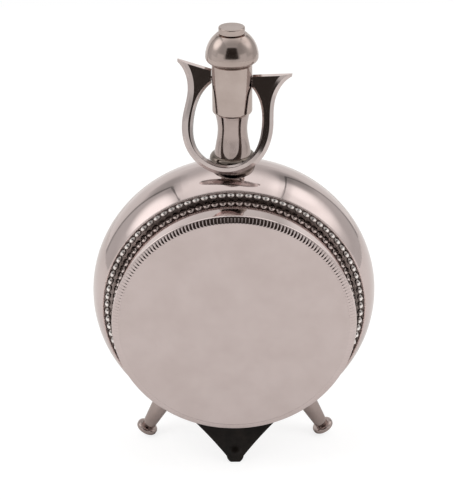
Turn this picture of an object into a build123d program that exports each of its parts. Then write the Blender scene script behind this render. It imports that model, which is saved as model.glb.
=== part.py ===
"""Round standing flask: a spun drum body on two peg legs and a front tongue foot,
with a long neck, a screw stopper and a horned bow that swings on the neck.

Millimetres, +Z up.  The origin is on the floor under the middle of the body.
Lengths along the neck and the legs are measured from the centre of the body.
"""
from build123d import *
from math import asin, atan2, cos, degrees, hypot, radians, sin, sqrt
import os

# ---------------------------------------------------------------- driving sizes
# body shells (the drum's axis is Y; "half" is measured from the seam)
body_radius = 56.0          # widest, at the seam
crown_radius = 27.7         # round of the body from the seam to its border
wall = 1.0                  # spun sheet
border_half = 15.3          # seam to the border lip
lip_width = 0.5             # flat lip round the bead channel
channel_depth = 1.0         # bead channel below the lip
seam_band_half = 3.0        # joint band behind the seam
seam_band_wall = 0.8

# raised drum on each side, with its reeded edge and flat face
channel_width = 4.0         # bead channel, from the drum's side to the lip
drum_half = 29.0            # seam to the flat face
drum_edge = 2.7             # round of the reeded edge
face_thickness = 1.1
face_ledge = 1.2            # ledge that the face plate sits on

# beaded border
bead_count = 93
bead_radius = 1.45
bead_shift = 0.15           # beads stand a little nearer to the lip
bead_flat = 0.15            # flat on top of each bead
bead_waist = 0.85           # width of a bead at its shoulder, against its foot
bead_crown = 0.35           # width of its flat top, against its foot
bead_shoulder = 0.55        # height of the shoulder, against the bead's radius
bead_strip = 0.3            # strip that carries the beads
border_wire_radius = 0.42

# neck
neck_bore = 4.0
spigot_wall = 0.95          # neck wall where it passes through the shells
spigot_tail = 0.4           # end of the spigot below its ring nut
flange_radius = 8.8
flange_height = 4.2         # top of the flange above the body
flange_widest_drop = 2.3    # widest line below the top
flange_draft = 0.3          # taper of its skirt
flange_root = 3.0           # skirt below the top of the body, before it is saddled
column_foot = 7.0
column_waist = 5.6
column_top = 6.6
column_length = 16.4
waist_share = 0.58          # height of the waist along the column
knee_share = 0.25           # height of the knee below it
knee_flare = 0.5            # how far the knee flares from the waist to the foot
throat_share = 0.81         # height of the throat under the collar
throat_flare = 0.3          # how far the throat flares from the waist to the top
collar_radius = 7.53
collar_height = 19.44
collar_round = 1.5          # curved foot of the collar
collar_turn = 9.0           # degrees that the collar and its pivots are turned on the neck
collar_edge = 0.3
collar_wall = 2.1
tube_overlap = 8.8          # neck tube inside the collar
lock_ring_width = 2.4
lock_ring_height = 1.8

# stopper
plug_radius = 4.5
plug_length = 8.0
plug_chamfer = 0.6
plug_spigot_radius = 3.0
plug_spigot_length = 3.5
washer_thickness = 0.25
washer_inset = 0.55         # washer edge inside the collar's edge
base_ring_radius = 7.15
base_ring_height = 0.35
dome_radius = 9.88
dome_foot = 8.0             # edge of its underside
dome_bulge = 2.08           # curve from that edge out to the widest line
dome_height = 10.5          # height of the upper ellipse, before it is cut flat
dome_flat_drop = 1.9        # its cut top below that height
button_radius = 4.9
button_thickness = 2.7
button_edge = 0.45
button_stem_radius = 1.3
button_stem_length = 3.0

# horned bow
bow_drop = 6.2              # pivot below the mouth of the collar
bow_depth = 3.6
bow_front_width = 2.6       # crowned part of its front, from the outer side
bow_front_drop = 0.65       # slope of that part
bow_edge_width = 1.25       # steeper outer facet of it
bow_edge_drop = 0.68
bow_back_bevel = 0.9
bow_top_bevel = 0.8
bow_inner_bevel = 0.75
bow_lean = 4.7              # degrees that the loop hangs askew on its pivots
bow_offset = 0.4            # loop centre beside the pivots' middle
horn_span = 21.6            # horn tip from the loop's middle line
horn_rise = 4.9
horn_root = 2.6             # top edge beside the collar
horn_tip = 1.2              # blunt end of each horn
horn_neck_half = 18.05
horn_neck_drop = 0.45
waist_half = 16.45          # narrow part of the outline under the horns
waist_drop = 6.3
loop_half = 17.15           # widest outline
loop_widest_drop = 16.4
shoulder_half = 13.85
shoulder_drop = 28.65
loop_drop = 35.85           # lowest point of the outline
eye_half = 7.3              # opening beside the collar
eye_drop = 2.0
eye_side_half = 10.65
eye_side_drop = 6.15
opening_half = 13.0
opening_widest_drop = 16.7
opening_low_half = 10.35
opening_low_drop = 27.4
opening_drop = 32.25
bow_pin_radius = 0.75
bow_pin_in_collar = 1.4
bow_pin_in_arm = 3.0

# legs and feet
ground_gap = 15.5           # floor to the body's underside
leg_angle = 28.5            # splay from straight down
leg_back = 6.3              # legs stand behind the seam
leg_root_radius = 5.2
leg_root_depth = 6.0        # peg inside the body's outline, before it is saddled
leg_ankle_radius = 2.65
foot_radius = 4.45
foot_thickness = 2.6
foot_round = 1.0
foot_dome = 0.7
tongue_lean = 17.0          # degrees from upright
tongue_front = 15.7         # tip in front of the seam
tongue_thickness = 2.4
tongue_root_half = 22.5
tongue_tuck = 7.5           # plate above the body's underside, before it is saddled
tongue_mid_half = 9.3
tongue_mid_share = 0.417    # height of that width, against the root's
tongue_tip_half = 3.5
tongue_tip_height = 2.6
tongue_sole = 0.5           # round of the tip that the floor takes off
tongue_button_radius = 3.1
tongue_button_rise = 4.3    # its centre above the tip
tongue_button_height = 0.9

# clearances
seat = 0.02                 # between pieces that sit on each other
slip = 0.05                 # radial running clearance
bow_gap = 0.22              # arms to collar

# ---------------------------------------------------------------- worked-out sizes
quarter = sqrt(0.5)         # sine and cosine at the middle of a quarter turn
centre_height = body_radius + ground_gap
lip_outer = body_radius - crown_radius + sqrt(crown_radius**2 - border_half**2)
lip_inner = lip_outer - lip_width
channel_half = border_half - channel_depth
drum_radius = lip_inner - channel_width
shell_hole = drum_radius - wall
bead_circle = drum_radius + channel_width / 2 + bead_shift
flange_top = body_radius + flange_height
column_base = flange_top + seat
column_end = column_base + column_length
spigot_radius = neck_bore + spigot_wall
seam_band_outer = (body_radius - crown_radius
                   + sqrt((crown_radius - wall)**2 - seam_band_half**2) - seat)
lock_ring_radius = spigot_radius + seat + lock_ring_width
lock_ring_top = sqrt((seam_band_outer - seam_band_wall)**2 - lock_ring_radius**2) - seat
lock_ring_bottom = lock_ring_top - lock_ring_height
spigot_end = lock_ring_bottom - spigot_tail
collar_bottom = column_end + seat
mouth = collar_bottom + collar_height
collar_bore = collar_radius - collar_wall
tube_radius = collar_bore - seat
tube_end = collar_bottom + tube_overlap
washer_bottom = mouth + seat
base_ring_bottom = washer_bottom + washer_thickness + seat
dome_bottom = base_ring_bottom + base_ring_height + seat
dome_widest = dome_bottom + dome_bulge
dome_top = dome_widest + dome_height - dome_flat_drop
plug_top = base_ring_bottom + base_ring_height
pivot_height = mouth - bow_drop
bow_reach = opening_drop + 0.5 * bow_inner_bevel
bow_rest = degrees(asin((flange_radius + bow_gap) / hypot(bow_reach, bow_depth / 2))
                   + atan2(bow_depth / 2, bow_reach))
foot_half = foot_thickness / 2
foot_lowest = ((foot_radius - foot_round) * sin(radians(leg_angle))
               + (foot_half - foot_round) * cos(radians(leg_angle)) + foot_round)
foot_reach = (centre_height - foot_lowest) / cos(radians(leg_angle))
tongue_root_height = ground_gap + tongue_tuck
tongue_mid_height = tongue_mid_share * tongue_root_height


# ---------------------------------------------------------------- helpers
def spun(*edges):
    """Revolve an outline drawn as (radius, distance along Y) about the drum's axis."""
    return revolve(make_face(edges), Axis.Y)


def turned(*edges):
    """Revolve an outline drawn as (radius, height) about the neck's axis."""
    return revolve(Plane.XZ * make_face(edges), Axis.Z)


def tube(outer, inner, bottom, top):
    """Plain ring about the neck's axis."""
    ring = Circle(outer) - Circle(inner)
    return extrude(Pos(0, 0, bottom) * ring, top - bottom)


def rod(radius, bottom, top):
    """Plain round bar about the neck's axis."""
    return extrude(Pos(0, 0, bottom) * Circle(radius), top - bottom)


def cap(radius, rim, top):
    """Shallow round cap over the axis, from its rim's height to its top."""
    rise = top - rim
    sphere = (radius**2 + rise**2) / (2 * rise)
    half = asin(radius / sphere) / 2
    return ThreePointArc((radius, rim), (sphere * sin(half), top - sphere * (1 - cos(half))),
                         (0, top))


def back_of(piece):
    """The same piece on the back of the flask."""
    return mirror(piece, Plane.XZ)


def left_of(piece):
    """The same piece on the left of the flask."""
    return mirror(piece, Plane.YZ)


# ---------------------------------------------------------------- body
def body_envelope():
    """Outside of the two shells, used to seat what stands on them."""
    crown = ThreePointArc((lip_outer, -border_half), (body_radius, 0), (lip_outer, border_half))
    return spun(crown, Polyline((lip_outer, border_half), (0, border_half),
                                (0, -border_half), (lip_outer, -border_half)))


def body_shell():
    """Front shell: crown, lip, bead channel and the web that carries the drum."""
    centre = body_radius - crown_radius
    inner = crown_radius - wall
    web = channel_half - wall
    web_outer = centre + sqrt(inner**2 - web**2)
    outer_mid = centre + sqrt(crown_radius**2 - (border_half / 2)**2)
    inner_mid = centre + sqrt(inner**2 - (web / 2)**2)
    shell = spun(
        ThreePointArc((body_radius, 0), (outer_mid, -border_half / 2), (lip_outer, -border_half)),
        Polyline((lip_outer, -border_half), (lip_inner, -border_half), (lip_inner, -channel_half),
                 (shell_hole, -channel_half), (shell_hole, -web), (web_outer, -web)),
        ThreePointArc((web_outer, -web), (inner_mid, -web / 2), (body_radius - wall, 0)),
        Line((body_radius - wall, 0), (body_radius, 0)))
    return shell - neck_hole()


def neck_hole():
    """Round hole for the neck through the top of the shells."""
    return rod(spigot_radius + slip, spigot_end, flange_top)


def seam_band():
    """Joint band soldered behind the seam."""
    outer = seam_band_outer
    inner = outer - seam_band_wall
    h = seam_band_half
    band = spun(Polyline((outer, -h), (outer, h), (inner, h), (inner, -h), (outer, -h)))
    return band - neck_hole()


def bezel():
    """Front drum: side wall, rounded edge and the ledge for the face plate."""
    arc_start = drum_half - drum_edge
    arc_mid = drum_edge * quarter
    rim = drum_radius - drum_edge
    ledge = drum_half - face_thickness - seat
    lip = rim - face_ledge
    return spun(
        Line((drum_radius, -channel_half - seat), (drum_radius, -arc_start)),
        ThreePointArc((drum_radius, -arc_start), (rim + arc_mid, -arc_start - arc_mid),
                      (rim, -drum_half)),
        Polyline((rim, -drum_half), (rim, -ledge), (lip, -ledge), (lip, -ledge + wall),
                 (shell_hole, -arc_start), (shell_hole, -channel_half - seat),
                 (drum_radius, -channel_half - seat)))


def face_plate():
    """Flat plain face, let in flush with the drum's edge."""
    radius = drum_radius - drum_edge - slip
    disc = Plane.XZ * Circle(radius)
    return extrude(Pos(0, -drum_half, 0) * disc, -face_thickness)


def bead(level_heights, level_radii):
    """One bead as an eight-sided button on the Z axis."""
    levels = [Pos(0, 0, h) * RegularPolygon(r, 8) for h, r in zip(level_heights, level_radii)]
    return loft(levels, ruled=True)


def bead_border():
    """Row of beads on a strip that lies in the channel."""
    bottom = channel_half + seat
    top = bottom + bead_strip
    outer = bead_circle + bead_radius
    inner = bead_circle - bead_radius
    strip = spun(Polyline((outer, -bottom), (outer, -top), (inner, -top), (inner, -bottom),
                          (outer, -bottom)))
    heights = (bottom + bead_strip / 2, top + bead_shoulder * bead_radius,
               top + bead_radius - bead_flat)
    one = bead(heights, (bead_radius, bead_waist * bead_radius, bead_crown * bead_radius))
    facing_front = Rot(X=90) * one
    pitch = 360 / bead_count
    beads = [Rot(Y=k * pitch) * Pos(0, 0, bead_circle) * facing_front for k in range(bead_count)]
    return strip + beads


def border_wire():
    """Thin round wire along the lip outside the beads."""
    centre_half = border_half + border_wire_radius + seat
    section = Pos((lip_outer + lip_inner) / 2, -centre_half) * Circle(border_wire_radius)
    return revolve(section, Axis.Y)


# ---------------------------------------------------------------- neck
def neck_flange():
    """Moulded foot of the neck, saddled on the body."""
    bore = spigot_radius + seat
    widest = flange_top - flange_widest_drop
    swell = column_foot + quarter * (flange_radius - column_foot)
    low = body_radius - flange_root
    moulding = turned(
        Line((bore, flange_top), (column_foot, flange_top)),
        ThreePointArc((column_foot, flange_top), (swell, widest + quarter * flange_widest_drop),
                      (flange_radius, widest)),
        Polyline((flange_radius, widest), (flange_radius - flange_draft, low), (bore, low),
                 (bore, flange_top)))
    return moulding - body_envelope()


def neck_tube():
    """Waisted column with a spigot below and a tube up into the collar."""
    waist_height = column_base + waist_share * column_length
    knee_height = column_base + knee_share * column_length
    knee = column_waist + knee_flare * (column_foot - column_waist)
    throat_height = column_base + throat_share * column_length
    throat = column_waist + throat_flare * (column_top - column_waist)
    waisted = Spline((column_foot, column_base), (knee, knee_height),
                     (column_waist, waist_height), (throat, throat_height),
                     (column_top, column_end))
    return turned(
        waisted,
        Polyline((column_top, column_end), (tube_radius, column_end), (tube_radius, tube_end),
                 (neck_bore, tube_end), (neck_bore, spigot_end), (spigot_radius, spigot_end),
                 (spigot_radius, column_base), (column_foot, column_base)))


def lock_ring():
    """Ring nut inside the body that holds the neck down."""
    return tube(lock_ring_radius, spigot_radius + seat, lock_ring_bottom, lock_ring_top)


def on_pivots(piece):
    """Turn a piece with the collar, whose pivots don't stand quite square to the body."""
    return Rot(Z=-collar_turn) * piece


def mouth_collar():
    """Thick collar round the mouth, with a curved foot and two pivot holes."""
    foot_top = collar_bottom + collar_round
    bulge = column_top + quarter * (collar_radius - column_top)
    bulge_height = collar_bottom + (1 - quarter) * collar_round
    edge = collar_edge
    collar = turned(
        Line((collar_bore, collar_bottom), (column_top, collar_bottom)),
        ThreePointArc((column_top, collar_bottom), (bulge, bulge_height),
                      (collar_radius, foot_top)),
        Polyline((collar_radius, foot_top), (collar_radius, mouth - edge),
                 (collar_radius - edge, mouth), (collar_bore, mouth),
                 (collar_bore, collar_bottom)))
    hole = Plane.YZ * Circle(bow_pin_radius + slip)
    start = collar_radius - bow_pin_in_collar - slip
    right = Pos(start, 0, pivot_height) * extrude(hole, bow_pin_in_collar + 1)
    return collar - on_pivots(right) - on_pivots(left_of(right))


def mouth_bush():
    """Threaded bush that the stopper screws into."""
    return tube(collar_bore - seat, plug_radius + slip, tube_end + seat, mouth)


# ---------------------------------------------------------------- stopper
def stopper_plug():
    """Screwed plug with a spigot up into the dome."""
    bottom = mouth - plug_length
    return turned(Polyline(
        (0, bottom), (plug_radius - plug_chamfer, bottom), (plug_radius, bottom + plug_chamfer),
        (plug_radius, base_ring_bottom), (plug_spigot_radius, base_ring_bottom),
        (plug_spigot_radius, plug_top + plug_spigot_length),
        (0, plug_top + plug_spigot_length), (0, bottom)))


def stopper_washer():
    """Sealing washer that rides on the plug and doesn't turn with it."""
    return tube(collar_radius - washer_inset, plug_radius + slip,
                washer_bottom, washer_bottom + washer_thickness)


def stopper_base_ring():
    """Bright band between the washer and the dome."""
    return tube(base_ring_radius, plug_spigot_radius + seat,
                base_ring_bottom + seat, base_ring_bottom + base_ring_height)


def stopper_dome():
    """Bell-shaped head, cut flat for the button."""
    flare = dome_foot + quarter * (dome_radius - dome_foot)
    flare_height = dome_widest - quarter * dome_bulge
    turn = asin(1 - dome_flat_drop / dome_height)
    mid, end = [(dome_radius * cos(t), dome_widest + dome_height * sin(t))
                for t in (turn / 2, turn)]
    crown = Spline((dome_radius, dome_widest), mid, end,
                   tangents=[(0, 1), (-dome_radius * sin(turn), dome_height * cos(turn))])
    socket = plug_spigot_radius + slip
    socket_top = plug_top + plug_spigot_length + slip
    stem_bottom = dome_top - button_stem_length
    stem = button_stem_radius + slip
    head = turned(
        Line((socket, dome_bottom), (dome_foot, dome_bottom)),
        ThreePointArc((dome_foot, dome_bottom), (flare, flare_height),
                      (dome_radius, dome_widest)),
        crown,
        Polyline(end, (stem, dome_top), (stem, stem_bottom), (0, stem_bottom),
                 (0, socket_top), (socket, socket_top), (socket, dome_bottom)))
    return head


def stopper_button():
    """Flat button on top, with a stem down into the dome."""
    bottom = dome_top + seat
    top = bottom + button_thickness
    edge = button_edge
    return turned(
        Polyline((0, bottom - button_stem_length + slip),
                 (button_stem_radius, bottom - button_stem_length + slip),
                 (button_stem_radius, bottom), (button_radius - edge, bottom),
                 (button_radius, bottom + edge), (button_radius, top - edge)),
        ThreePointArc((button_radius, top - edge),
                      (button_radius - edge * (1 - quarter), top - edge * (1 - quarter)),
                      (button_radius - edge, top)),
        Polyline((button_radius - edge, top), (0, top),
                 (0, bottom - button_stem_length + slip)))


# ---------------------------------------------------------------- horned bow
def at_bow_rest(piece):
    """Hang a piece, drawn upright about the pivots, where the bow rests."""
    return on_pivots(Pos(0, 0, pivot_height) * Rot(X=-bow_rest) * piece)


def bow_outline():
    """Outline with its two horns, drawn as (sideways, up) about the pivots."""
    tip_foot = (horn_span, horn_rise - horn_tip)
    side = [tip_foot, (horn_neck_half, -horn_neck_drop), (waist_half, -waist_drop),
            (loop_half, -loop_widest_drop), (shoulder_half, -shoulder_drop)]
    loop = Spline(side + [(0, -loop_drop)] + [(-x, y) for x, y in reversed(side)])
    slope = (horn_rise - horn_root) / (horn_span - collar_radius)
    valley = horn_root - slope * collar_radius
    top = Polyline(tip_foot, (horn_span, horn_rise), (0, valley),
                   (-horn_span, horn_rise), (-horn_span, horn_rise - horn_tip))
    return make_face([loop, top])


def bow_opening():
    """Egg-shaped opening of the loop, closed across behind the collar."""
    side = [(eye_half, -eye_drop), (eye_side_half, -eye_side_drop),
            (opening_half, -opening_widest_drop), (opening_low_half, -opening_low_drop)]
    curve = Spline(side + [(0, -opening_drop)] + [(-x, y) for x, y in reversed(side)])
    return make_face([curve, Line((-eye_half, -eye_drop), (eye_half, -eye_drop))])


def outline_rims(plate, height):
    """Long edges that run round both sides of the outline, at a given distance from the seam."""
    return [e for e in plate.edges() if e.length > 2 * horn_span
            and abs(e.center().Y - height) < seat]


def top_rims(plate):
    """Short edges along the top of the horns, on the front and on the back."""
    faces = plate.faces().sort_by(Axis.Y)
    return [e for e in faces[0].edges() + faces[-1].edges()
            if 2 * horn_tip < e.length < 2 * horn_span]


def horned_bow():
    """Crowned loop with two horns; its arms end beside the collar."""
    half = bow_depth / 2
    blank = extrude(Plane.XZ * bow_outline(), half, both=True)
    blank = chamfer(top_rims(blank), bow_top_bevel)
    blank = chamfer(outline_rims(blank, half), bow_back_bevel)
    front = blank.faces().sort_by(Axis.Y)[0]
    blank = chamfer(outline_rims(blank, -half), bow_front_width, bow_front_drop,
                    reference=front)
    slope = blank.faces().sort_by(lambda f: f.normal_at().Y)[1]
    blank = chamfer(outline_rims(blank, bow_front_drop - half), bow_edge_width, bow_edge_drop,
                    reference=slope)
    loop = blank - extrude(Plane.XZ * bow_opening(), bow_depth, both=True)
    inner_rims = [e for e in loop.edges().filter_by(GeomType.BSPLINE)
                  if abs(abs(e.center().Y) - half) < seat
                  and abs(e.bounding_box().min.Z + opening_drop) < seat]
    loop = chamfer(inner_rims, bow_inner_bevel)
    loop = Rot(Y=bow_lean) * Pos(bow_offset, 0, 0) * loop
    gap = collar_radius + bow_gap
    loop -= Box(2 * gap, 2 * bow_depth, 3 * (horn_rise + eye_drop))
    hole = Plane.YZ * Circle(bow_pin_radius + seat)
    right = Pos(gap, 0, 0) * extrude(hole, bow_pin_in_arm + slip)
    return at_bow_rest(loop - right - left_of(right))


def bow_pin():
    """Pivot pin, fast in the arm and free in the collar."""
    length = bow_pin_in_collar + bow_gap + bow_pin_in_arm
    pin = extrude(Plane.YZ * Circle(bow_pin_radius), length)
    return Pos(collar_radius - bow_pin_in_collar, 0, 0) * pin


# ---------------------------------------------------------------- legs and feet
def on_leg(piece):
    """Place a piece, drawn downwards along -Z from the centre, on the right leg."""
    return Pos(0, leg_back, 0) * Rot(Y=-leg_angle) * piece


def leg():
    """Tapered peg soldered to the body."""
    ankle = -(foot_reach - foot_half - seat)
    root = -(body_radius - leg_root_depth)
    peg = turned(Polyline((0, root), (leg_root_radius, root), (leg_ankle_radius, ankle),
                          (0, ankle), (0, root)))
    return on_leg(peg) - body_envelope()


def foot():
    """Rounded disc foot with a slightly domed end."""
    top = -(foot_reach - foot_half)
    bottom = -(foot_reach + foot_half)
    flat = foot_radius - foot_round
    corner = foot_round * quarter
    disc = turned(
        Line((0, top), (flat, top)),
        ThreePointArc((flat, top), (flat + corner, top - foot_round + corner),
                      (foot_radius, top - foot_round)),
        Line((foot_radius, top - foot_round), (foot_radius, bottom + foot_round)),
        ThreePointArc((foot_radius, bottom + foot_round),
                      (flat + corner, bottom + foot_round - corner), (flat, bottom)),
        cap(flat, bottom, bottom - foot_dome),
        Line((0, bottom - foot_dome), (0, top)))
    return on_leg(disc)


def at_tongue(piece):
    """Place a piece, drawn upright about the tongue's tip, on the leaning tongue."""
    return Pos(0, -tongue_front, -centre_height) * Rot(X=-tongue_lean) * piece


def tongue():
    """Front foot: a plate whose sides sweep in to a round tip."""
    half, rise = tongue_tip_half, tongue_tip_height
    right = ThreePointArc((tongue_root_half, tongue_root_height),
                          (tongue_mid_half, tongue_mid_height), (half, rise))
    left = ThreePointArc((-tongue_root_half, tongue_root_height),
                         (-tongue_mid_half, tongue_mid_height), (-half, rise))
    tip = ThreePointArc((half, rise), (0, -tongue_sole), (-half, rise))
    top = Line((tongue_root_half, tongue_root_height), (-tongue_root_half, tongue_root_height))
    plate = extrude(Plane.XZ * make_face([right, tip, left, top]), -tongue_thickness)
    floor = Pos(0, 0, -centre_height - body_radius / 2) * Box(
        2 * body_radius, 2 * body_radius, body_radius)
    return at_tongue(plate) - body_envelope() - floor


def tongue_button():
    """Low round button on the tip of the tongue."""
    r = tongue_button_radius
    dome = spun(Polyline((0, -tongue_button_height), (0, -seat), (r, -seat)),
                cap(r, -seat, -tongue_button_height))
    return at_tongue(Pos(0, 0, tongue_button_rise) * dome)


# ---------------------------------------------------------------- assembly
front_shell = body_shell()
front_bezel = bezel()
front_face = face_plate()
front_beads = bead_border()
front_wire = border_wire()
right_leg = leg()
right_foot = foot()
right_pin = bow_pin()

pieces = {
    "front_body_shell": front_shell,
    "back_body_shell": back_of(front_shell),
    "seam_band": seam_band(),
    "front_bezel": front_bezel,
    "back_bezel": back_of(front_bezel),
    "front_face_plate": front_face,
    "back_face_plate": back_of(front_face),
    "front_bead_border": front_beads,
    "back_bead_border": back_of(front_beads),
    "front_border_wire": front_wire,
    "back_border_wire": back_of(front_wire),
    "neck_flange": neck_flange(),
    "neck_tube": neck_tube(),
    "neck_lock_ring": lock_ring(),
    "mouth_collar": mouth_collar(),
    "mouth_bush": mouth_bush(),
    "stopper_plug": stopper_plug(),
    "stopper_washer": stopper_washer(),
    "stopper_base_ring": stopper_base_ring(),
    "stopper_dome": stopper_dome(),
    "stopper_button": stopper_button(),
    "horned_bow": horned_bow(),
    "right_bow_pin": at_bow_rest(right_pin),
    "left_bow_pin": at_bow_rest(left_of(right_pin)),
    "right_leg": right_leg,
    "left_leg": left_of(right_leg),
    "right_foot": right_foot,
    "left_foot": left_of(right_foot),
    "tongue_foot": tongue(),
    "tongue_button": tongue_button(),
}

os.makedirs("parts", exist_ok=True)
for name, piece in pieces.items():
    export_step(Pos(0, 0, centre_height) * piece, f"parts/{name}.step")
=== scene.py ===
"""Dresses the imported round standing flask: materials, pearls, reeding, thread, floor, light and camera."""
from math import cos, pi, radians, sin, sqrt

import bmesh
import bpy
from mathutils import Matrix, Vector

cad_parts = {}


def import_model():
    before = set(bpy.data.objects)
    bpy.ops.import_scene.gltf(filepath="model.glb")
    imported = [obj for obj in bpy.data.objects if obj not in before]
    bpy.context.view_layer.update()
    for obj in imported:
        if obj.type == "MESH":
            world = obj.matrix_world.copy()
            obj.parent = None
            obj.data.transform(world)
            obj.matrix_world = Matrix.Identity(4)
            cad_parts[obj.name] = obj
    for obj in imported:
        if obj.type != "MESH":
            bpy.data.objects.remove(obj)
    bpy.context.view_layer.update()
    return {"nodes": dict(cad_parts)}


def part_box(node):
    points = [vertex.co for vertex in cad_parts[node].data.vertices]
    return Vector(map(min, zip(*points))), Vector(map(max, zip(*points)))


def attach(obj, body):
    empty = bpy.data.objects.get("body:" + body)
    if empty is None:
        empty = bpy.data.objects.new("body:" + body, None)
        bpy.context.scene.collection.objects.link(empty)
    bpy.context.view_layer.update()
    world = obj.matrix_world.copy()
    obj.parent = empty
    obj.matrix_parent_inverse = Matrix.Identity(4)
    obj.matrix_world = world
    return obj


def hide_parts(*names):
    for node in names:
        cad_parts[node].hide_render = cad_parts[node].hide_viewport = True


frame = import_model()
nodes = frame["nodes"]
MM = 0.001
CENTRE = 0.0715          # middle of the body above the floor

# sizes of the CAD model, in millimetres
BODY_RADIUS, CROWN_RADIUS, BORDER_HALF = 56.0, 27.7, 15.3
DRUM_HALF, DRUM_EDGE, WALL = 29.0, 2.7, 1.0
LIP_INNER = BODY_RADIUS - CROWN_RADIUS + sqrt(CROWN_RADIUS**2 - BORDER_HALF**2) - 0.5
DRUM_RADIUS = LIP_INNER - 4.0
CHANNEL_HALF = BORDER_HALF - 1.0
BEAD_CIRCLE = DRUM_RADIUS + 2.15
FACE_LEDGE, FACE_THICKNESS = 1.2, 1.1
THREAD_PITCH = 1.5
SEAT = 0.02              # how far a piece stands off the one that it sits on

# colours, each with the tint that it clouds towards
SILVER = (0.642, 0.553, 0.542), (0.60, 0.512, 0.497)
SILVER_FACE = (0.608, 0.524, 0.513), (0.568, 0.485, 0.471)
# lighter copy of the silver for the drum wall and its round: painted highlight
SILVER_WALL = (0.77, 0.67, 0.655), (0.72, 0.62, 0.60)
# lighter copy of the silver for the pearls: painted highlight
SILVER_PEARL = (0.97, 0.94, 0.92), (0.92, 0.88, 0.86)
SILVER_BOW = (0.62, 0.545, 0.53), (0.55, 0.475, 0.46)
# darker copy of the silver for the stopper and mouth collar: painted shade
SILVER_STOPPER = (0.53, 0.447, 0.417), (0.44, 0.362, 0.332)
# darker copy of the silver for the neck, legs and feet: painted shade
SILVER_NECK = (0.485, 0.405, 0.385), (0.40, 0.33, 0.31)
# much darker copy of the silver for the neck flange: painted shade
SILVER_FLANGE = (0.24, 0.20, 0.175), (0.17, 0.14, 0.12)
# darker copy of the silver for the bead channel's strip and the seam band: painted shade
SILVER_CHANNEL = (0.33, 0.28, 0.265), (0.20, 0.168, 0.155)
BRASS = (0.80, 0.60, 0.30), (0.66, 0.46, 0.20)
LACQUER = (0.006, 0.005, 0.0045), (0.018, 0.014, 0.012)
RUBBER = (0.03, 0.026, 0.022), (0.06, 0.052, 0.045)
# patina in the hollows of the reeding and thread, and painted shade on the pearls' inner sides and roots
PATINA_AND_SHADE_COLOR = (0.035, 0.028, 0.024, 1)
# painted shade on the bow's back and on the walls that face its opening
BOW_SHADE_COLOR = (0.045, 0.032, 0.026, 1)


# ------------------------------------------------------------------ node helpers
def node(nt, kind, sockets=None, **settings):
    """New node with its settings, and values for sockets by name."""
    n = nt.nodes.new(kind)
    for key, value in settings.items():
        setattr(n, key, value)
    for key, value in (sockets or {}).items():
        put(nt, n.inputs[key], value)
    return n


def put(nt, socket, value):
    """Set a socket's value, or link another socket to it."""
    if isinstance(value, bpy.types.NodeSocket):
        nt.links.new(value, socket)
    else:
        socket.default_value = value


def scalar(nt, operation, a, b=0.0):
    return node(nt, "ShaderNodeMath", {0: a, 1: b}, operation=operation).outputs[0]


def times(nt, first, *others):
    """Product of values or sockets."""
    for other in others:
        first = scalar(nt, "MULTIPLY", first, other)
    return first


def vector(nt, operation, a, b=(0, 0, 0)):
    n = node(nt, "ShaderNodeVectorMath", {0: a, 1: b}, operation=operation)
    return n.outputs["Value" if operation == "DOT_PRODUCT" else "Vector"]


def mix(nt, a, b, factor, data_type="FLOAT"):
    sockets = {"A": a, "B": b, "Factor": factor}
    return node(nt, "ShaderNodeMix", sockets, data_type=data_type).outputs["Result"]


def ramp(nt, value, a, b, low=0.0, high=1.0, interpolation_type="SMOOTHSTEP"):
    """Ramp from low, where the value is a, to high, where it is b."""
    sockets = {"Value": value, "From Min": a, "From Max": b, "To Min": low, "To Max": high}
    return node(nt, "ShaderNodeMapRange", sockets, interpolation_type=interpolation_type).outputs["Result"]


def spread(nt, value, low, high, a=0.35, b=0.65):
    """Straight ramp over the middle of a noise, from low to high."""
    return ramp(nt, value, a, b, low, high, "LINEAR")


def noise(nt, coord, scale, detail, rough, stretch=(1, 1, 1)):
    place = node(nt, "ShaderNodeMapping", {"Vector": coord, "Scale": stretch}).outputs["Vector"]
    sockets = {"Vector": place, "Scale": scale, "Detail": detail, "Roughness": rough}
    return node(nt, "ShaderNodeTexNoise", sockets).outputs["Fac"]


# ------------------------------------------------------------------ materials
def new_material(name):
    mat = bpy.data.materials.new(name)
    mat.use_nodes = True
    nt = mat.node_tree
    return mat, nt, nt.nodes["Principled BSDF"]


def metal(name, colors, rough, rough_change=0.03, bump=0.02, wear=0.15):
    """Polished plate: faint clouding of tone and gloss, hairline wear and a slight waviness."""
    mat, nt, bsdf = new_material(name)
    coord = node(nt, "ShaderNodeTexCoord").outputs["Object"]
    cloud = noise(nt, coord, scale=70.0, detail=4.0, rough=0.6)
    speck = noise(nt, coord, scale=900.0, detail=2.0, rough=0.5)
    hair = noise(nt, coord, scale=260.0, detail=5.0, rough=0.7, stretch=(1.0, 1.0, 9.0))
    speck_share = 0.25
    color, tint = colors
    put(nt, bsdf.inputs["Base Color"], mix(nt, (*color, 1), (*tint, 1), spread(nt, cloud, 0.0, 1.0), "RGBA"))
    haze = spread(nt, cloud, rough - rough_change, rough + rough_change)
    scratches = spread(nt, hair, 0.0, rough_change * wear * 6, 0.55, 0.75)
    put(nt, bsdf.inputs["Roughness"], scalar(nt, "ADD", haze, scratches))
    bsdf.inputs["Metallic"].default_value = 1.0
    height = node(nt, "ShaderNodeMath", {0: speck, 1: speck_share, 2: cloud}, operation="MULTIPLY_ADD").outputs[0]
    wavy = node(nt, "ShaderNodeBump", {"Strength": bump, "Distance": 0.0004, "Height": height})
    put(nt, bsdf.inputs["Normal"], wavy.outputs["Normal"])
    return mat


def darken(mat, color, factor):
    """Mix a colour over a material's own, by a factor socket of its node tree."""
    nt = mat.node_tree
    base = nt.nodes["Principled BSDF"].inputs["Base Color"]
    put(nt, base, mix(nt, base.links[0].from_socket, color, factor, "RGBA"))
    return mat


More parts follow.
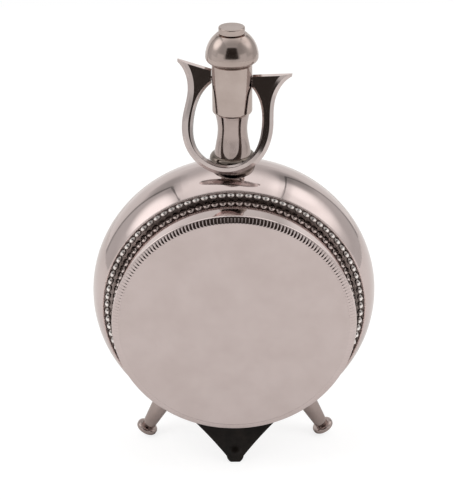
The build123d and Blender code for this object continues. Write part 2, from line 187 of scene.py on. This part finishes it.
def add_patina_and_shade(mat, strength):
    """Darken a metal by a vertex attribute, 0 on the crest: patina by how deep a vertex lies in the reeding and
    thread, and painted shade on the pearls' inner sides and roots.
    """
    nt = mat.node_tree
    patina_and_shade_depth = node(nt, "ShaderNodeAttribute", attribute_name="patina_and_shade_depth").outputs["Fac"]
    return darken(mat, PATINA_AND_SHADE_COLOR, spread(nt, patina_and_shade_depth, 0.0, strength, 0.25, 0.85))


def add_bow_shade(mat, middle):
    """Painted shade: darken the back of the bow and the walls that face its opening."""
    strength = 0.9
    nt = mat.node_tree
    coord = node(nt, "ShaderNodeTexCoord")
    inward = vector(nt, "NORMALIZE", vector(nt, "SUBTRACT", middle, coord.outputs["Object"]))
    inner = vector(nt, "DOT_PRODUCT", coord.outputs["Normal"], inward)
    back = node(nt, "ShaderNodeSeparateXYZ", {0: coord.outputs["Normal"]}).outputs["Y"]
    inner = spread(nt, inner, 0.0, strength, 0.45, 0.75)
    back = spread(nt, back, 0.0, strength, 0.35, 0.70)
    return darken(mat, BOW_SHADE_COLOR, scalar(nt, "MAXIMUM", inner, back))


def clouded(name, colors, rough, scale, detail, low=0.35, high=0.65):
    """Plain non-metal whose colour and gloss cloud together, and its shader."""
    mat, nt, bsdf = new_material(name)
    cloud = noise(nt, node(nt, "ShaderNodeTexCoord").outputs["Object"], scale, detail, 0.6)
    color, tint = colors
    change = spread(nt, cloud, 0.0, 1.0, low, high)
    put(nt, bsdf.inputs["Base Color"], mix(nt, (*color, 1), (*tint, 1), change, "RGBA"))
    put(nt, bsdf.inputs["Roughness"], spread(nt, cloud, *rough))
    return mat, bsdf


def lacquer():
    """Black lacquer under a thin glossy coat."""
    mat, bsdf = clouded("black_lacquer", LACQUER, rough=(0.10, 0.20), scale=120.0, detail=4.0)
    bsdf.inputs["Coat Weight"].default_value = 0.1
    bsdf.inputs["Specular IOR Level"].default_value = 0.12
    bsdf.inputs["Coat Roughness"].default_value = 0.08
    return mat


def rubber():
    """Matt washer rubber with a fine grain."""
    mat, _ = clouded("washer_rubber", RUBBER, rough=(0.55, 0.75), scale=1500.0, detail=3.0, low=0.0, high=1.0)
    return mat


def opening_middle():
    """Point that the walls of the bow's opening face, a little below the middle of its box."""
    low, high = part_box("horned_bow")
    return (low[0] + high[0]) / 2, (low[1] + high[1]) / 2, low[2] * 0.55 + high[2] * 0.45


plate = metal("silver_plate", SILVER, rough=0.07)
face = metal("silver_face", SILVER_FACE, rough=0.16, rough_change=0.02, bump=0.01)
# matt, darker copy of the silver: painted shade in the bead channel and the seam band
dull_and_shaded = metal("silver_channel", SILVER_CHANNEL, rough=0.40, rough_change=0.06, bump=0.05)
# darker copy of the silver: painted shade on the stopper and collar, with heavier hairline wear
worn_and_shaded = metal("silver_stopper", SILVER_STOPPER, rough=0.12, rough_change=0.05, bump=0.05, wear=0.3)
# darker copy of the silver: painted shade on the flange under the bow
shaded_flange = metal("silver_flange", SILVER_FLANGE, rough=0.10, rough_change=0.04, bump=0.04, wear=0.3)
# darker copy of the silver: painted shade on the neck, legs and feet, with heavier hairline wear
aged_and_shaded = metal("silver_neck", SILVER_NECK, rough=0.11, rough_change=0.04, bump=0.04, wear=0.3)
brass = metal("machined_brass", BRASS, rough=0.25, rough_change=0.05, bump=0.03)
reeded = add_patina_and_shade(metal("silver_reeding", SILVER, rough=0.07), strength=0.10)
# pearls: lighter silver as a painted highlight, and strong painted shade on their inward sides and roots
beaded = add_patina_and_shade(metal("silver_pearls", SILVER_PEARL, rough=0.28, rough_change=0.05, bump=0.03), strength=0.85)
# lighter copy of the silver: painted highlight on the drum wall and its round
bright = metal("silver_wall", SILVER_WALL, rough=0.07)
threaded = add_patina_and_shade(metal("brass_thread", BRASS, rough=0.2), strength=0.5)
black = lacquer()
# bow with painted shade on its back and on the walls of its opening
bow = add_bow_shade(metal("silver_bow", SILVER_BOW, rough=0.13), opening_middle())
washer = rubber()

# several of these are darker copies of the one silver that carry painted shade
FINISHES_AND_SHADES = (
    (plate, ("front_body_shell", "back_body_shell", "front_border_wire", "back_border_wire")),
    (shaded_flange, ("neck_flange",)),
    (aged_and_shaded, ("neck_tube", "right_leg", "left_leg", "right_foot", "left_foot")),
    (face, ("front_face_plate", "back_face_plate")),
    (worn_and_shaded, ("stopper_dome", "stopper_button", "stopper_base_ring", "mouth_collar")),
    (bow, ("horned_bow", "right_bow_pin", "left_bow_pin")),
    (dull_and_shaded, ("seam_band",)),
    (brass, ("neck_lock_ring", "mouth_bush")),
    (black, ("tongue_foot", "tongue_button")),
    (washer, ("stopper_washer",)),
)
for mat, names in FINISHES_AND_SHADES:
    for name in names:
        slots = nodes[name].data.materials
        slots.clear()
        slots.append(mat)


# ------------------------------------------------------------------ detailed pieces
def link(obj):
    """Put an object in the scene."""
    bpy.context.scene.collection.objects.link(obj)
    return obj


def mesh_object(name, bm, *mats):
    """New object in the scene, from a finished mesh."""
    mesh = bpy.data.meshes.new(name)
    bm.to_mesh(mesh)
    bm.free()
    for mat in mats:
        mesh.materials.append(mat)
    return link(bpy.data.objects.new(name, mesh))


def piece(name, bm, mats, body, *replaced):
    """Finish a mesh, and put it in a CAD node's place."""
    bmesh.ops.recalc_face_normals(bm, faces=bm.faces)
    obj = mesh_object(name, bm, *mats)
    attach(obj, body)
    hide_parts(*replaced)


def around(radius, depth, angle, front):
    """Point in metres, from a radius about the body's axis and a depth from the seam in millimetres."""
    return Vector((radius * cos(angle), front * depth, radius * sin(angle) + CENTRE / MM)) * MM


def lathe(bm, rings, closed=True):
    """Join rings of vertices with quads; a closed outline also joins the last ring to the first."""
    faces = []
    count = len(rings[0])
    for a in range(len(rings) if closed else len(rings) - 1):
        one, two = rings[a], rings[(a + 1) % len(rings)]
        for k in range(count):
            n = (k + 1) % count
            faces.append(bm.faces.new((one[k], one[n], two[n], two[k])))
    return faces


def bead_border(name, front):
    """Row of oval pearls, nearly touching, lighter than the body as a painted highlight and with painted shade on
    their inner sides, on a strip darkened with painted shade that fills the channel's floor.
    """
    count, half_long, half_wide, tall, strip = 93, 1.58, 1.30, 1.38, 0.3
    sides, rows, lowest = 24, 10, -0.30      # facets round a pearl and up it, and its lowest row's tilt
    strip_sides, gap = 372, 0.06
    outset, lift, root_depth = 0.35, 0.1, 0.32 * tall     # from the CAD beads' circle, over the strip, and below
    unshaded, clouding, root_shade = 0.17, 0.30, 0.6          # how far a pearl's inner side stays free of painted shade, then darkens with it, and the root's painted shade
    base = CHANNEL_HALF + SEAT
    top = base + strip
    inner, outer = DRUM_RADIUS + gap, LIP_INNER - gap
    bm = bmesh.new()
    patina_and_shade_depth = bm.verts.layers.float.new("patina_and_shade_depth")
    section = ((inner, base), (inner, top), (outer, top), (outer, base))
    lathe(bm, [[bm.verts.new(around(r, d, 2 * pi * k / strip_sides, front)) for k in range(strip_sides)]
               for r, d in section])
    for b in range(count):
        mid = 2 * pi * (b + 0.5) / count
        out = Vector((cos(mid), 0, sin(mid)))
        along = Vector((-sin(mid), 0, cos(mid)))
        centre = around(BEAD_CIRCLE + outset, top + lift, mid, front)
        levels = []
        for row in range(rows):
            tilt = lowest + (pi / 2 - lowest) * row / rows
            ring = []
            for k in range(sides):
                t = 2 * pi * k / sides
                side = (out * cos(t) * half_wide + along * sin(t) * half_long) * cos(tilt)
                v = bm.verts.new(centre + (side + Vector((0, front * tall * sin(tilt), 0))) * MM)
                # painted shade: the side that leans inwards is darkened, and so is the root
                inwards = -cos(t) * cos(tilt)
                v[patina_and_shade_depth] = min(1.0, max(0.0, (inwards - unshaded) / clouding) + (root_shade if row == 0 else 0.0))
                ring.append(v)
            levels.append(ring)
        tip = bm.verts.new(centre + Vector((0, front * tall * MM, 0)))
        root = bm.verts.new(centre + Vector((0, -front * root_depth * MM, 0)))
        round_faces, root_faces = lathe(bm, levels, closed=False), []
        for k in range(sides):
            n = (k + 1) % sides
            round_faces.append(bm.faces.new((levels[-1][k], levels[-1][n], tip)))
            root_faces.append(bm.faces.new((levels[0][n], levels[0][k], root)))
        for f in round_faces:
            f.smooth = True
        for f in round_faces + root_faces:
            f.material_index = 1
    piece(name + "_pearls", bm, (dull_and_shaded, beaded), "flask", name)


def bezel(name, front):
    """Tapered drum wall that turns over a small round into a sloping rim of fine reeding."""
    ribs, per_rib, lean = 210, 10, radians(20)   # ribs, points across one, and how far its sides lean
    slope, slope_steps = 2.7, 14                 # length of the reeded rim, and steps down it
    flat, steep = radians(11), radians(38)       # tilt of the rim at the face and at the round
    round_steps, taper, foot_lift = 6, 0.85, 0.35
    at_face, deepening, fading = 0.10, 6, 0.16   # the ribs' depth at the face, and how it grows and ends
    closing, dirt_power = 0.004, 6               # overlap on the face plate's edge; higher keeps dirt deeper
    rim, ledge = DRUM_RADIUS - DRUM_EDGE, DRUM_HALF - FACE_THICKNESS - SEAT
    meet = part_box(name.replace("bezel", "face_plate"))[1][0] / MM + closing

    # each point: radius, depth, normal, and how deep the ribs are cut there
    profile, r, d = [], meet, DRUM_HALF
    for k in range(slope_steps + 1):
        t = k / slope_steps
        tilt = flat + (steep - flat) * t
        profile.append((r, d, sin(tilt), cos(tilt), min(1.0, at_face + deepening * t, (1 - t) / fading)))
        r, d = r + slope / slope_steps * cos(tilt), d - slope / slope_steps * sin(tilt)
    r, d = profile[-1][:2]
    corner = (DRUM_RADIUS - r) / (1 - sin(steep))
    for k in range(1, round_steps + 1):
        tilt = steep + (pi / 2 - steep) * k / round_steps
        out, back = corner * (sin(tilt) - sin(steep)), corner * (cos(steep) - cos(tilt))
        profile.append((r + out, d - back, 0, 0, 0))
    d = profile[-1][1]
    for t in (0.12, 0.5, 0.88, 1.0):
        profile.append((DRUM_RADIUS + taper * t, d + (CHANNEL_HALF + foot_lift - d) * t, 0, 0, 0))
    inside = ((DRUM_RADIUS + taper, CHANNEL_HALF + SEAT), (DRUM_RADIUS - WALL, CHANNEL_HALF + SEAT),
              (DRUM_RADIUS - WALL, DRUM_HALF - DRUM_EDGE), (rim - FACE_LEDGE, ledge - WALL),
              (rim - FACE_LEDGE, ledge), (meet, ledge))

    bm = bmesh.new()
    patina_and_shade_depth = bm.verts.layers.float.new("patina_and_shade_depth")
    count = ribs * per_rib
    # each rib is an arc whose sides lean over by the same angle as its neighbour's
    middle = rim + 1.3
    pitch = 2 * pi * middle / ribs
    arc = pitch / 2 / sin(lean)
    rings = []
    for r, d, nr, nd, cut in profile + [(r, d, 0, 0, 0) for r, d in inside]:
        ring = []
        for k in range(count):
            across = (2 * (k % per_rib) / per_rib - 1) * pitch / 2
            low = (arc - sqrt(arc * arc - across * across)) * cut
            v = bm.verts.new(around(r - nr * low, d - nd * low, 2 * pi * k / count, front))
            v[patina_and_shade_depth] = cut * abs(2 * across / pitch) ** dirt_power
            ring.append(v)
        rings.append(ring)
    for n, f in enumerate(lathe(bm, rings)):
        band = n // count
        f.smooth = band < len(profile) - 1
        # the round and the tapered wall take the lighter silver, a painted highlight
        f.material_index = int(slope_steps < band < len(profile))
    piece(name + "_reeded", bm, (reeded, bright), "flask", name)


def plug():
    """Screw plug with a fine rounded thread of the pitch that the stopper climbs by."""
    low, high = (corner[2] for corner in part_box("stopper_plug"))
    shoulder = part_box("stopper_base_ring")[0][2] - SEAT * MM
    crest_radius, root_radius, neck_radius, pitch = 4.5 * MM, 3.95 * MM, 3.0 * MM, THREAD_PITCH * MM
    run_in, run_out = 0.9 * MM, 0.8 * MM         # over which the thread rises from its root at each end
    sides, rows, roundness = 60, 130, 0.8
    bm = bmesh.new()
    patina_and_shade_depth = bm.verts.layers.float.new("patina_and_shade_depth")
    rings = []
    turns = [2 * pi * k / sides for k in range(sides)]
    for j in range(rows + 1):
        z = low + (shoulder - low) * j / rows
        fade = max(min(1.0, (z - low) / run_in, (shoulder - z) / run_out), 0.0)
        ring = []
        for t in turns:
            turn = ((z - low) / pitch - t / (2 * pi)) % 1.0
            crest = (0.5 + 0.5 * cos(2 * pi * turn)) ** roundness
            r = root_radius + (crest_radius - root_radius) * crest * fade
            v = bm.verts.new((r * cos(t), r * sin(t), z))
            v[patina_and_shade_depth] = 1 - crest
            ring.append(v)
        rings.append(ring)
    for z in (shoulder, high):
        rings.append([bm.verts.new((neck_radius * cos(t), neck_radius * sin(t), z)) for t in turns])
    for f in lathe(bm, rings, closed=False):
        f.smooth = True
    bm.faces.new(list(reversed(rings[0])))
    bm.faces.new(rings[-1])
    piece("stopper_plug_threaded", bm, (threaded,), "stopper", "stopper_plug")


for side, front in (("front", -1), ("back", 1)):
    bead_border(side + "_bead_border", front)
    bezel(side + "_bezel", front)
plug()


# ------------------------------------------------------------------ floor
def floor():
    """Pale paper that runs on towards the open front; the camera sees it white, with the object's shadow."""
    wide, ahead, behind = 0.6, 2.5, 0.6          # reach to each side, forward and back
    bm = bmesh.new()
    corners = (-wide, -ahead), (wide, -ahead), (wide, behind), (-wide, behind)
    bm.faces.new([bm.verts.new((x, y, 0)) for x, y in corners])
    mat, nt, bsdf = new_material("floor_paper")
    obj = mesh_object("floor", bm, mat)
    obj.location = (0, 0, -0.0002)               # just under the feet
    bsdf.inputs["Base Color"].default_value = (0.76, 0.75, 0.74, 1)
    bsdf.inputs["Roughness"].default_value = 0.9
    bsdf.inputs["Specular IOR Level"].default_value = 0.1
    glow = node(nt, "ShaderNodeEmission", {"Color": (1, 1, 1, 1), "Strength": 0.80}).outputs["Emission"]
    thin = node(nt, "ShaderNodeBsdfDiffuse", {"Color": (0.26, 0.26, 0.26, 1)}).outputs["BSDF"]
    white = node(nt, "ShaderNodeAddShader", {0: glow, 1: thin}).outputs["Shader"]
    seen = node(nt, "ShaderNodeLightPath").outputs["Is Camera Ray"]
    shader = node(nt, "ShaderNodeMixShader", {0: seen, 1: bsdf.outputs["BSDF"], 2: white}).outputs["Shader"]
    put(nt, nt.nodes["Material Output"].inputs["Surface"], shader)


# ------------------------------------------------------------------ light tent, drawn by direction
DEGREE = radians(1)
# directions are (azimuth from the front, -Y, towards +X; elevation), in degrees
TENT_CORNERS = (         # hand, upper back corner, foot of that corner, front end of the eave
    (-1, (-137, 38.5), (-126.5, -14), (-92.3, 55.8)),
    (1, (151, 33.5), (135.5, -16), (91.8, 59)),
)
UPRIGHT_SEAM = (0.10, 0.038)     # darkness of the shade beside a seam, and half width of its line
EAVE_SEAM = (0.26, 0.015)
SEAM_DARKNESS, SHADE_REACH, SHADE_FULL = 0.50, 0.115, 0.015
LEVEL_BELOW = 0.80               # under the horizon in front, where the floor ends
LIT_PATCHES = (          # direction, added level, inner and outer radius in degrees
    ((-97, 36), 0.98, 4, 25),
    ((108, 40), 0.62, 8, 30),
    ((122, 42), 0.25, 3, 15),
    ((-90, 18), 0.12, 4, 24),
    ((100, 22), 0.20, 4, 22),
)
DARK_CORNERS = (         # direction, strength, inner and outer radius
    ((-143, 30), 0.28, 2, 13),
    ((148, 31), 0.34, 2, 15),
)
CLOTH_TINT = (1.0, 0.985, 0.965)
OPENING_COLOR = (0.036, 0.030, 0.026, 1)


def toward(azimuth, elevation):
    """Unit vector of a direction given in degrees."""
    a, e = radians(azimuth), radians(elevation)
    return Vector((sin(a) * cos(e), -cos(a) * cos(e), sin(e)))


def lobe(nt, direction, middle, inner, outer):
    """1 within the inner radius of a direction, falling to 0 at the outer."""
    near = vector(nt, "DOT_PRODUCT", direction, toward(*middle))
    return ramp(nt, near, cos(radians(outer)), cos(radians(inner)))


def crease(nt, direction, start, end):
    """Signed distance from the plane through two directions, and a mask of the arc between them."""
    one, two = toward(*start), toward(*end)
    middle = (one + two).normalized()
    away = vector(nt, "DOT_PRODUCT", direction, one.cross(two).normalized())
    along = vector(nt, "DOT_PRODUCT", direction, middle)
    reach = middle.dot(one)
    return away, ramp(nt, along, reach - 0.006, reach + 0.006)


def side_walls(nt, azimuth, z):
    """Level of the side walls, darker towards the open front but light low down, above the floor."""
    walls = ramp(nt, azimuth, 48 * DEGREE, 84 * DEGREE, 0.46, 0.62)
    front = times(nt, ramp(nt, azimuth, 30 * DEGREE, 38 * DEGREE),
                  ramp(nt, azimuth, 84 * DEGREE, 62 * DEGREE))
    walls = scalar(nt, "MAXIMUM", walls, times(nt, ramp(nt, z, 0.40, 0.22, 0.0, 0.80), front))
    low = times(nt, ramp(nt, z, 0.24, 0.16, 0.0, 0.62), ramp(nt, azimuth, 30 * DEGREE, 40 * DEGREE))
    return scalar(nt, "MAXIMUM", walls, low)


def back_and_roof(nt, y, z):
    """Level of the back wall, under a bright roof that dims towards the front."""
    back = scalar(nt, "SUBTRACT", ramp(nt, z, -0.20, 0.10, 0.95, 0.84), ramp(nt, z, 0.25, 0.52, 0.0, 0.20))
    roof = ramp(nt, y, -0.55, 0.28, 0.50, 1.12)
    return mix(nt, back, roof, ramp(nt, z, 0.62, 0.86))


def opening(nt, side, ahead, z):
    """Mask of the open front: a rectangle in the plane ahead."""
    wide = scalar(nt, "DIVIDE", side, scalar(nt, "MAXIMUM", ahead, 0.001))
    high = scalar(nt, "DIVIDE", z, scalar(nt, "MAXIMUM", ahead, 0.001))
    return times(nt, ramp(nt, wide, 0.56, 0.50), ramp(nt, high, 1.16, 1.00), ramp(nt, high, -0.02, 0.03),
                 ramp(nt, ahead, 0.02, 0.06))


def world():
    """White photo tent: grey-white cloth with sewn corners, two bright sides, and the open front dark."""
    w = bpy.data.worlds.new("studio")
    bpy.context.scene.world = w
    w.use_nodes = True
    nt = w.node_tree
    nt.nodes.clear()
    direction = node(nt, "ShaderNodeTexCoord").outputs["Generated"]
    x, y, z = node(nt, "ShaderNodeSeparateXYZ", {0: direction}).outputs
    side = scalar(nt, "ABSOLUTE", x)
    ahead = times(nt, y, -1.0)
    azimuth = scalar(nt, "ARCTAN2", side, ahead)             # 0 in front, pi behind
    walls = side_walls(nt, azimuth, z)
    level, seams = back_and_roof(nt, y, z), None
    for hand, top, foot, eave_end in TENT_CORNERS:
        upright, near_upright = crease(nt, direction, top, foot)
        eave, near_eave = crease(nt, direction, top, eave_end)
        upright = times(nt, upright, -hand)
        eave = times(nt, eave, hand)
        inside = times(nt, ramp(nt, upright, -0.006, 0.006), ramp(nt, eave, -0.012, 0.012),
                       ramp(nt, times(nt, x, hand), 0.0, 0.02))
        level = mix(nt, level, walls, inside)
        sewn = (upright, near_upright, UPRIGHT_SEAM), (eave, near_eave, EAVE_SEAM)
        for away, near, (broad, half) in sewn:
            gap = scalar(nt, "ABSOLUTE", away)
            line = times(nt, ramp(nt, gap, half, half * 0.4, 0.0, SEAM_DARKNESS), near)
            shade = times(nt, ramp(nt, gap, SHADE_REACH, SHADE_FULL, 0.0, broad), near)
            both = scalar(nt, "ADD", line, shade)
            seams = both if seams is None else scalar(nt, "MAXIMUM", seams, both)
    below = times(nt, ramp(nt, z, 0.02, -0.02), ramp(nt, y, 0.3, 0.0))
    level = mix(nt, level, LEVEL_BELOW, below)
    for middle, strength, inner, outer in LIT_PATCHES:
        level = scalar(nt, "ADD", level, times(nt, lobe(nt, direction, middle, inner, outer), strength))
    for middle, strength, inner, outer in DARK_CORNERS:
        dark = times(nt, lobe(nt, direction, middle, inner, outer), strength)
        level = times(nt, level, scalar(nt, "SUBTRACT", 1.0, dark))
    level = times(nt, level, scalar(nt, "SUBTRACT", 1.0, seams))
    channels = {k: times(nt, level, tint) for k, tint in enumerate(CLOTH_TINT)}
    cloth = node(nt, "ShaderNodeCombineColor", channels)
    tent = mix(nt, cloth.outputs[0], OPENING_COLOR, opening(nt, side, ahead, z), "RGBA")
    shown = node(nt, "ShaderNodeBackground", {"Color": tent, "Strength": 1.0}).outputs["Background"]
    plain = node(nt, "ShaderNodeBackground", {"Color": (1, 1, 1, 1), "Strength": 1.0}).outputs["Background"]
    seen = node(nt, "ShaderNodeLightPath").outputs["Is Camera Ray"]
    shader = node(nt, "ShaderNodeMixShader", {0: seen, 1: shown, 2: plain}).outputs["Shader"]
    node(nt, "ShaderNodeOutputWorld", {"Surface": shader})


# ------------------------------------------------------------------ lamps and camera
def lamp(name, at, to, size, power):
    """Soft lamp that metal doesn't mirror."""
    data = bpy.data.lights.new(name, "AREA")
    data.shape = "RECTANGLE"
    data.size, data.size_y = size
    data.energy = power
    obj = link(bpy.data.objects.new(name, data))
    obj.location = at
    obj.rotation_euler = (Vector(to) - Vector(at)).to_track_quat("-Z", "Y").to_euler()
    obj.visible_glossy = False


def camera():
    """Long lens from in front and above, 27 degrees down, with the slight roll of a hand-held shot."""
    pitch, roll, pan = radians(27.09), radians(-0.47), radians(0.2364)
    ahead, up = Vector((0, cos(pitch), -sin(pitch))), Vector((0, sin(pitch), cos(pitch)))
    right = Vector((1, 0, 0))
    r = right * cos(roll) + up * sin(roll)
    u = up * cos(roll) - right * sin(roll)
    f = ahead * cos(pan) - r * sin(pan)
    r = r * cos(pan) + ahead * sin(pan)
    data = bpy.data.cameras.new("camera")
    data.sensor_width = 36
    data.lens = 104.88
    data.clip_start = 0.01
    obj = link(bpy.data.objects.new("camera", data))
    m = Matrix((r, u, -f)).transposed().to_4x4()
    m.translation = (0, -0.51028, 0.27953 + CENTRE)
    obj.matrix_world = m
    bpy.context.scene.camera = obj


floor()
world()
lamp("key", at=(-0.9, -0.5, 1.3), to=(0, 0, 0.09), size=(0.7, 0.7), power=8)
lamp("fill", at=(1.0, -0.3, 1.0), to=(0, 0, 0.09), size=(0.6, 0.8), power=6)
camera()
bpy.context.scene.view_settings.view_transform = "Standard"
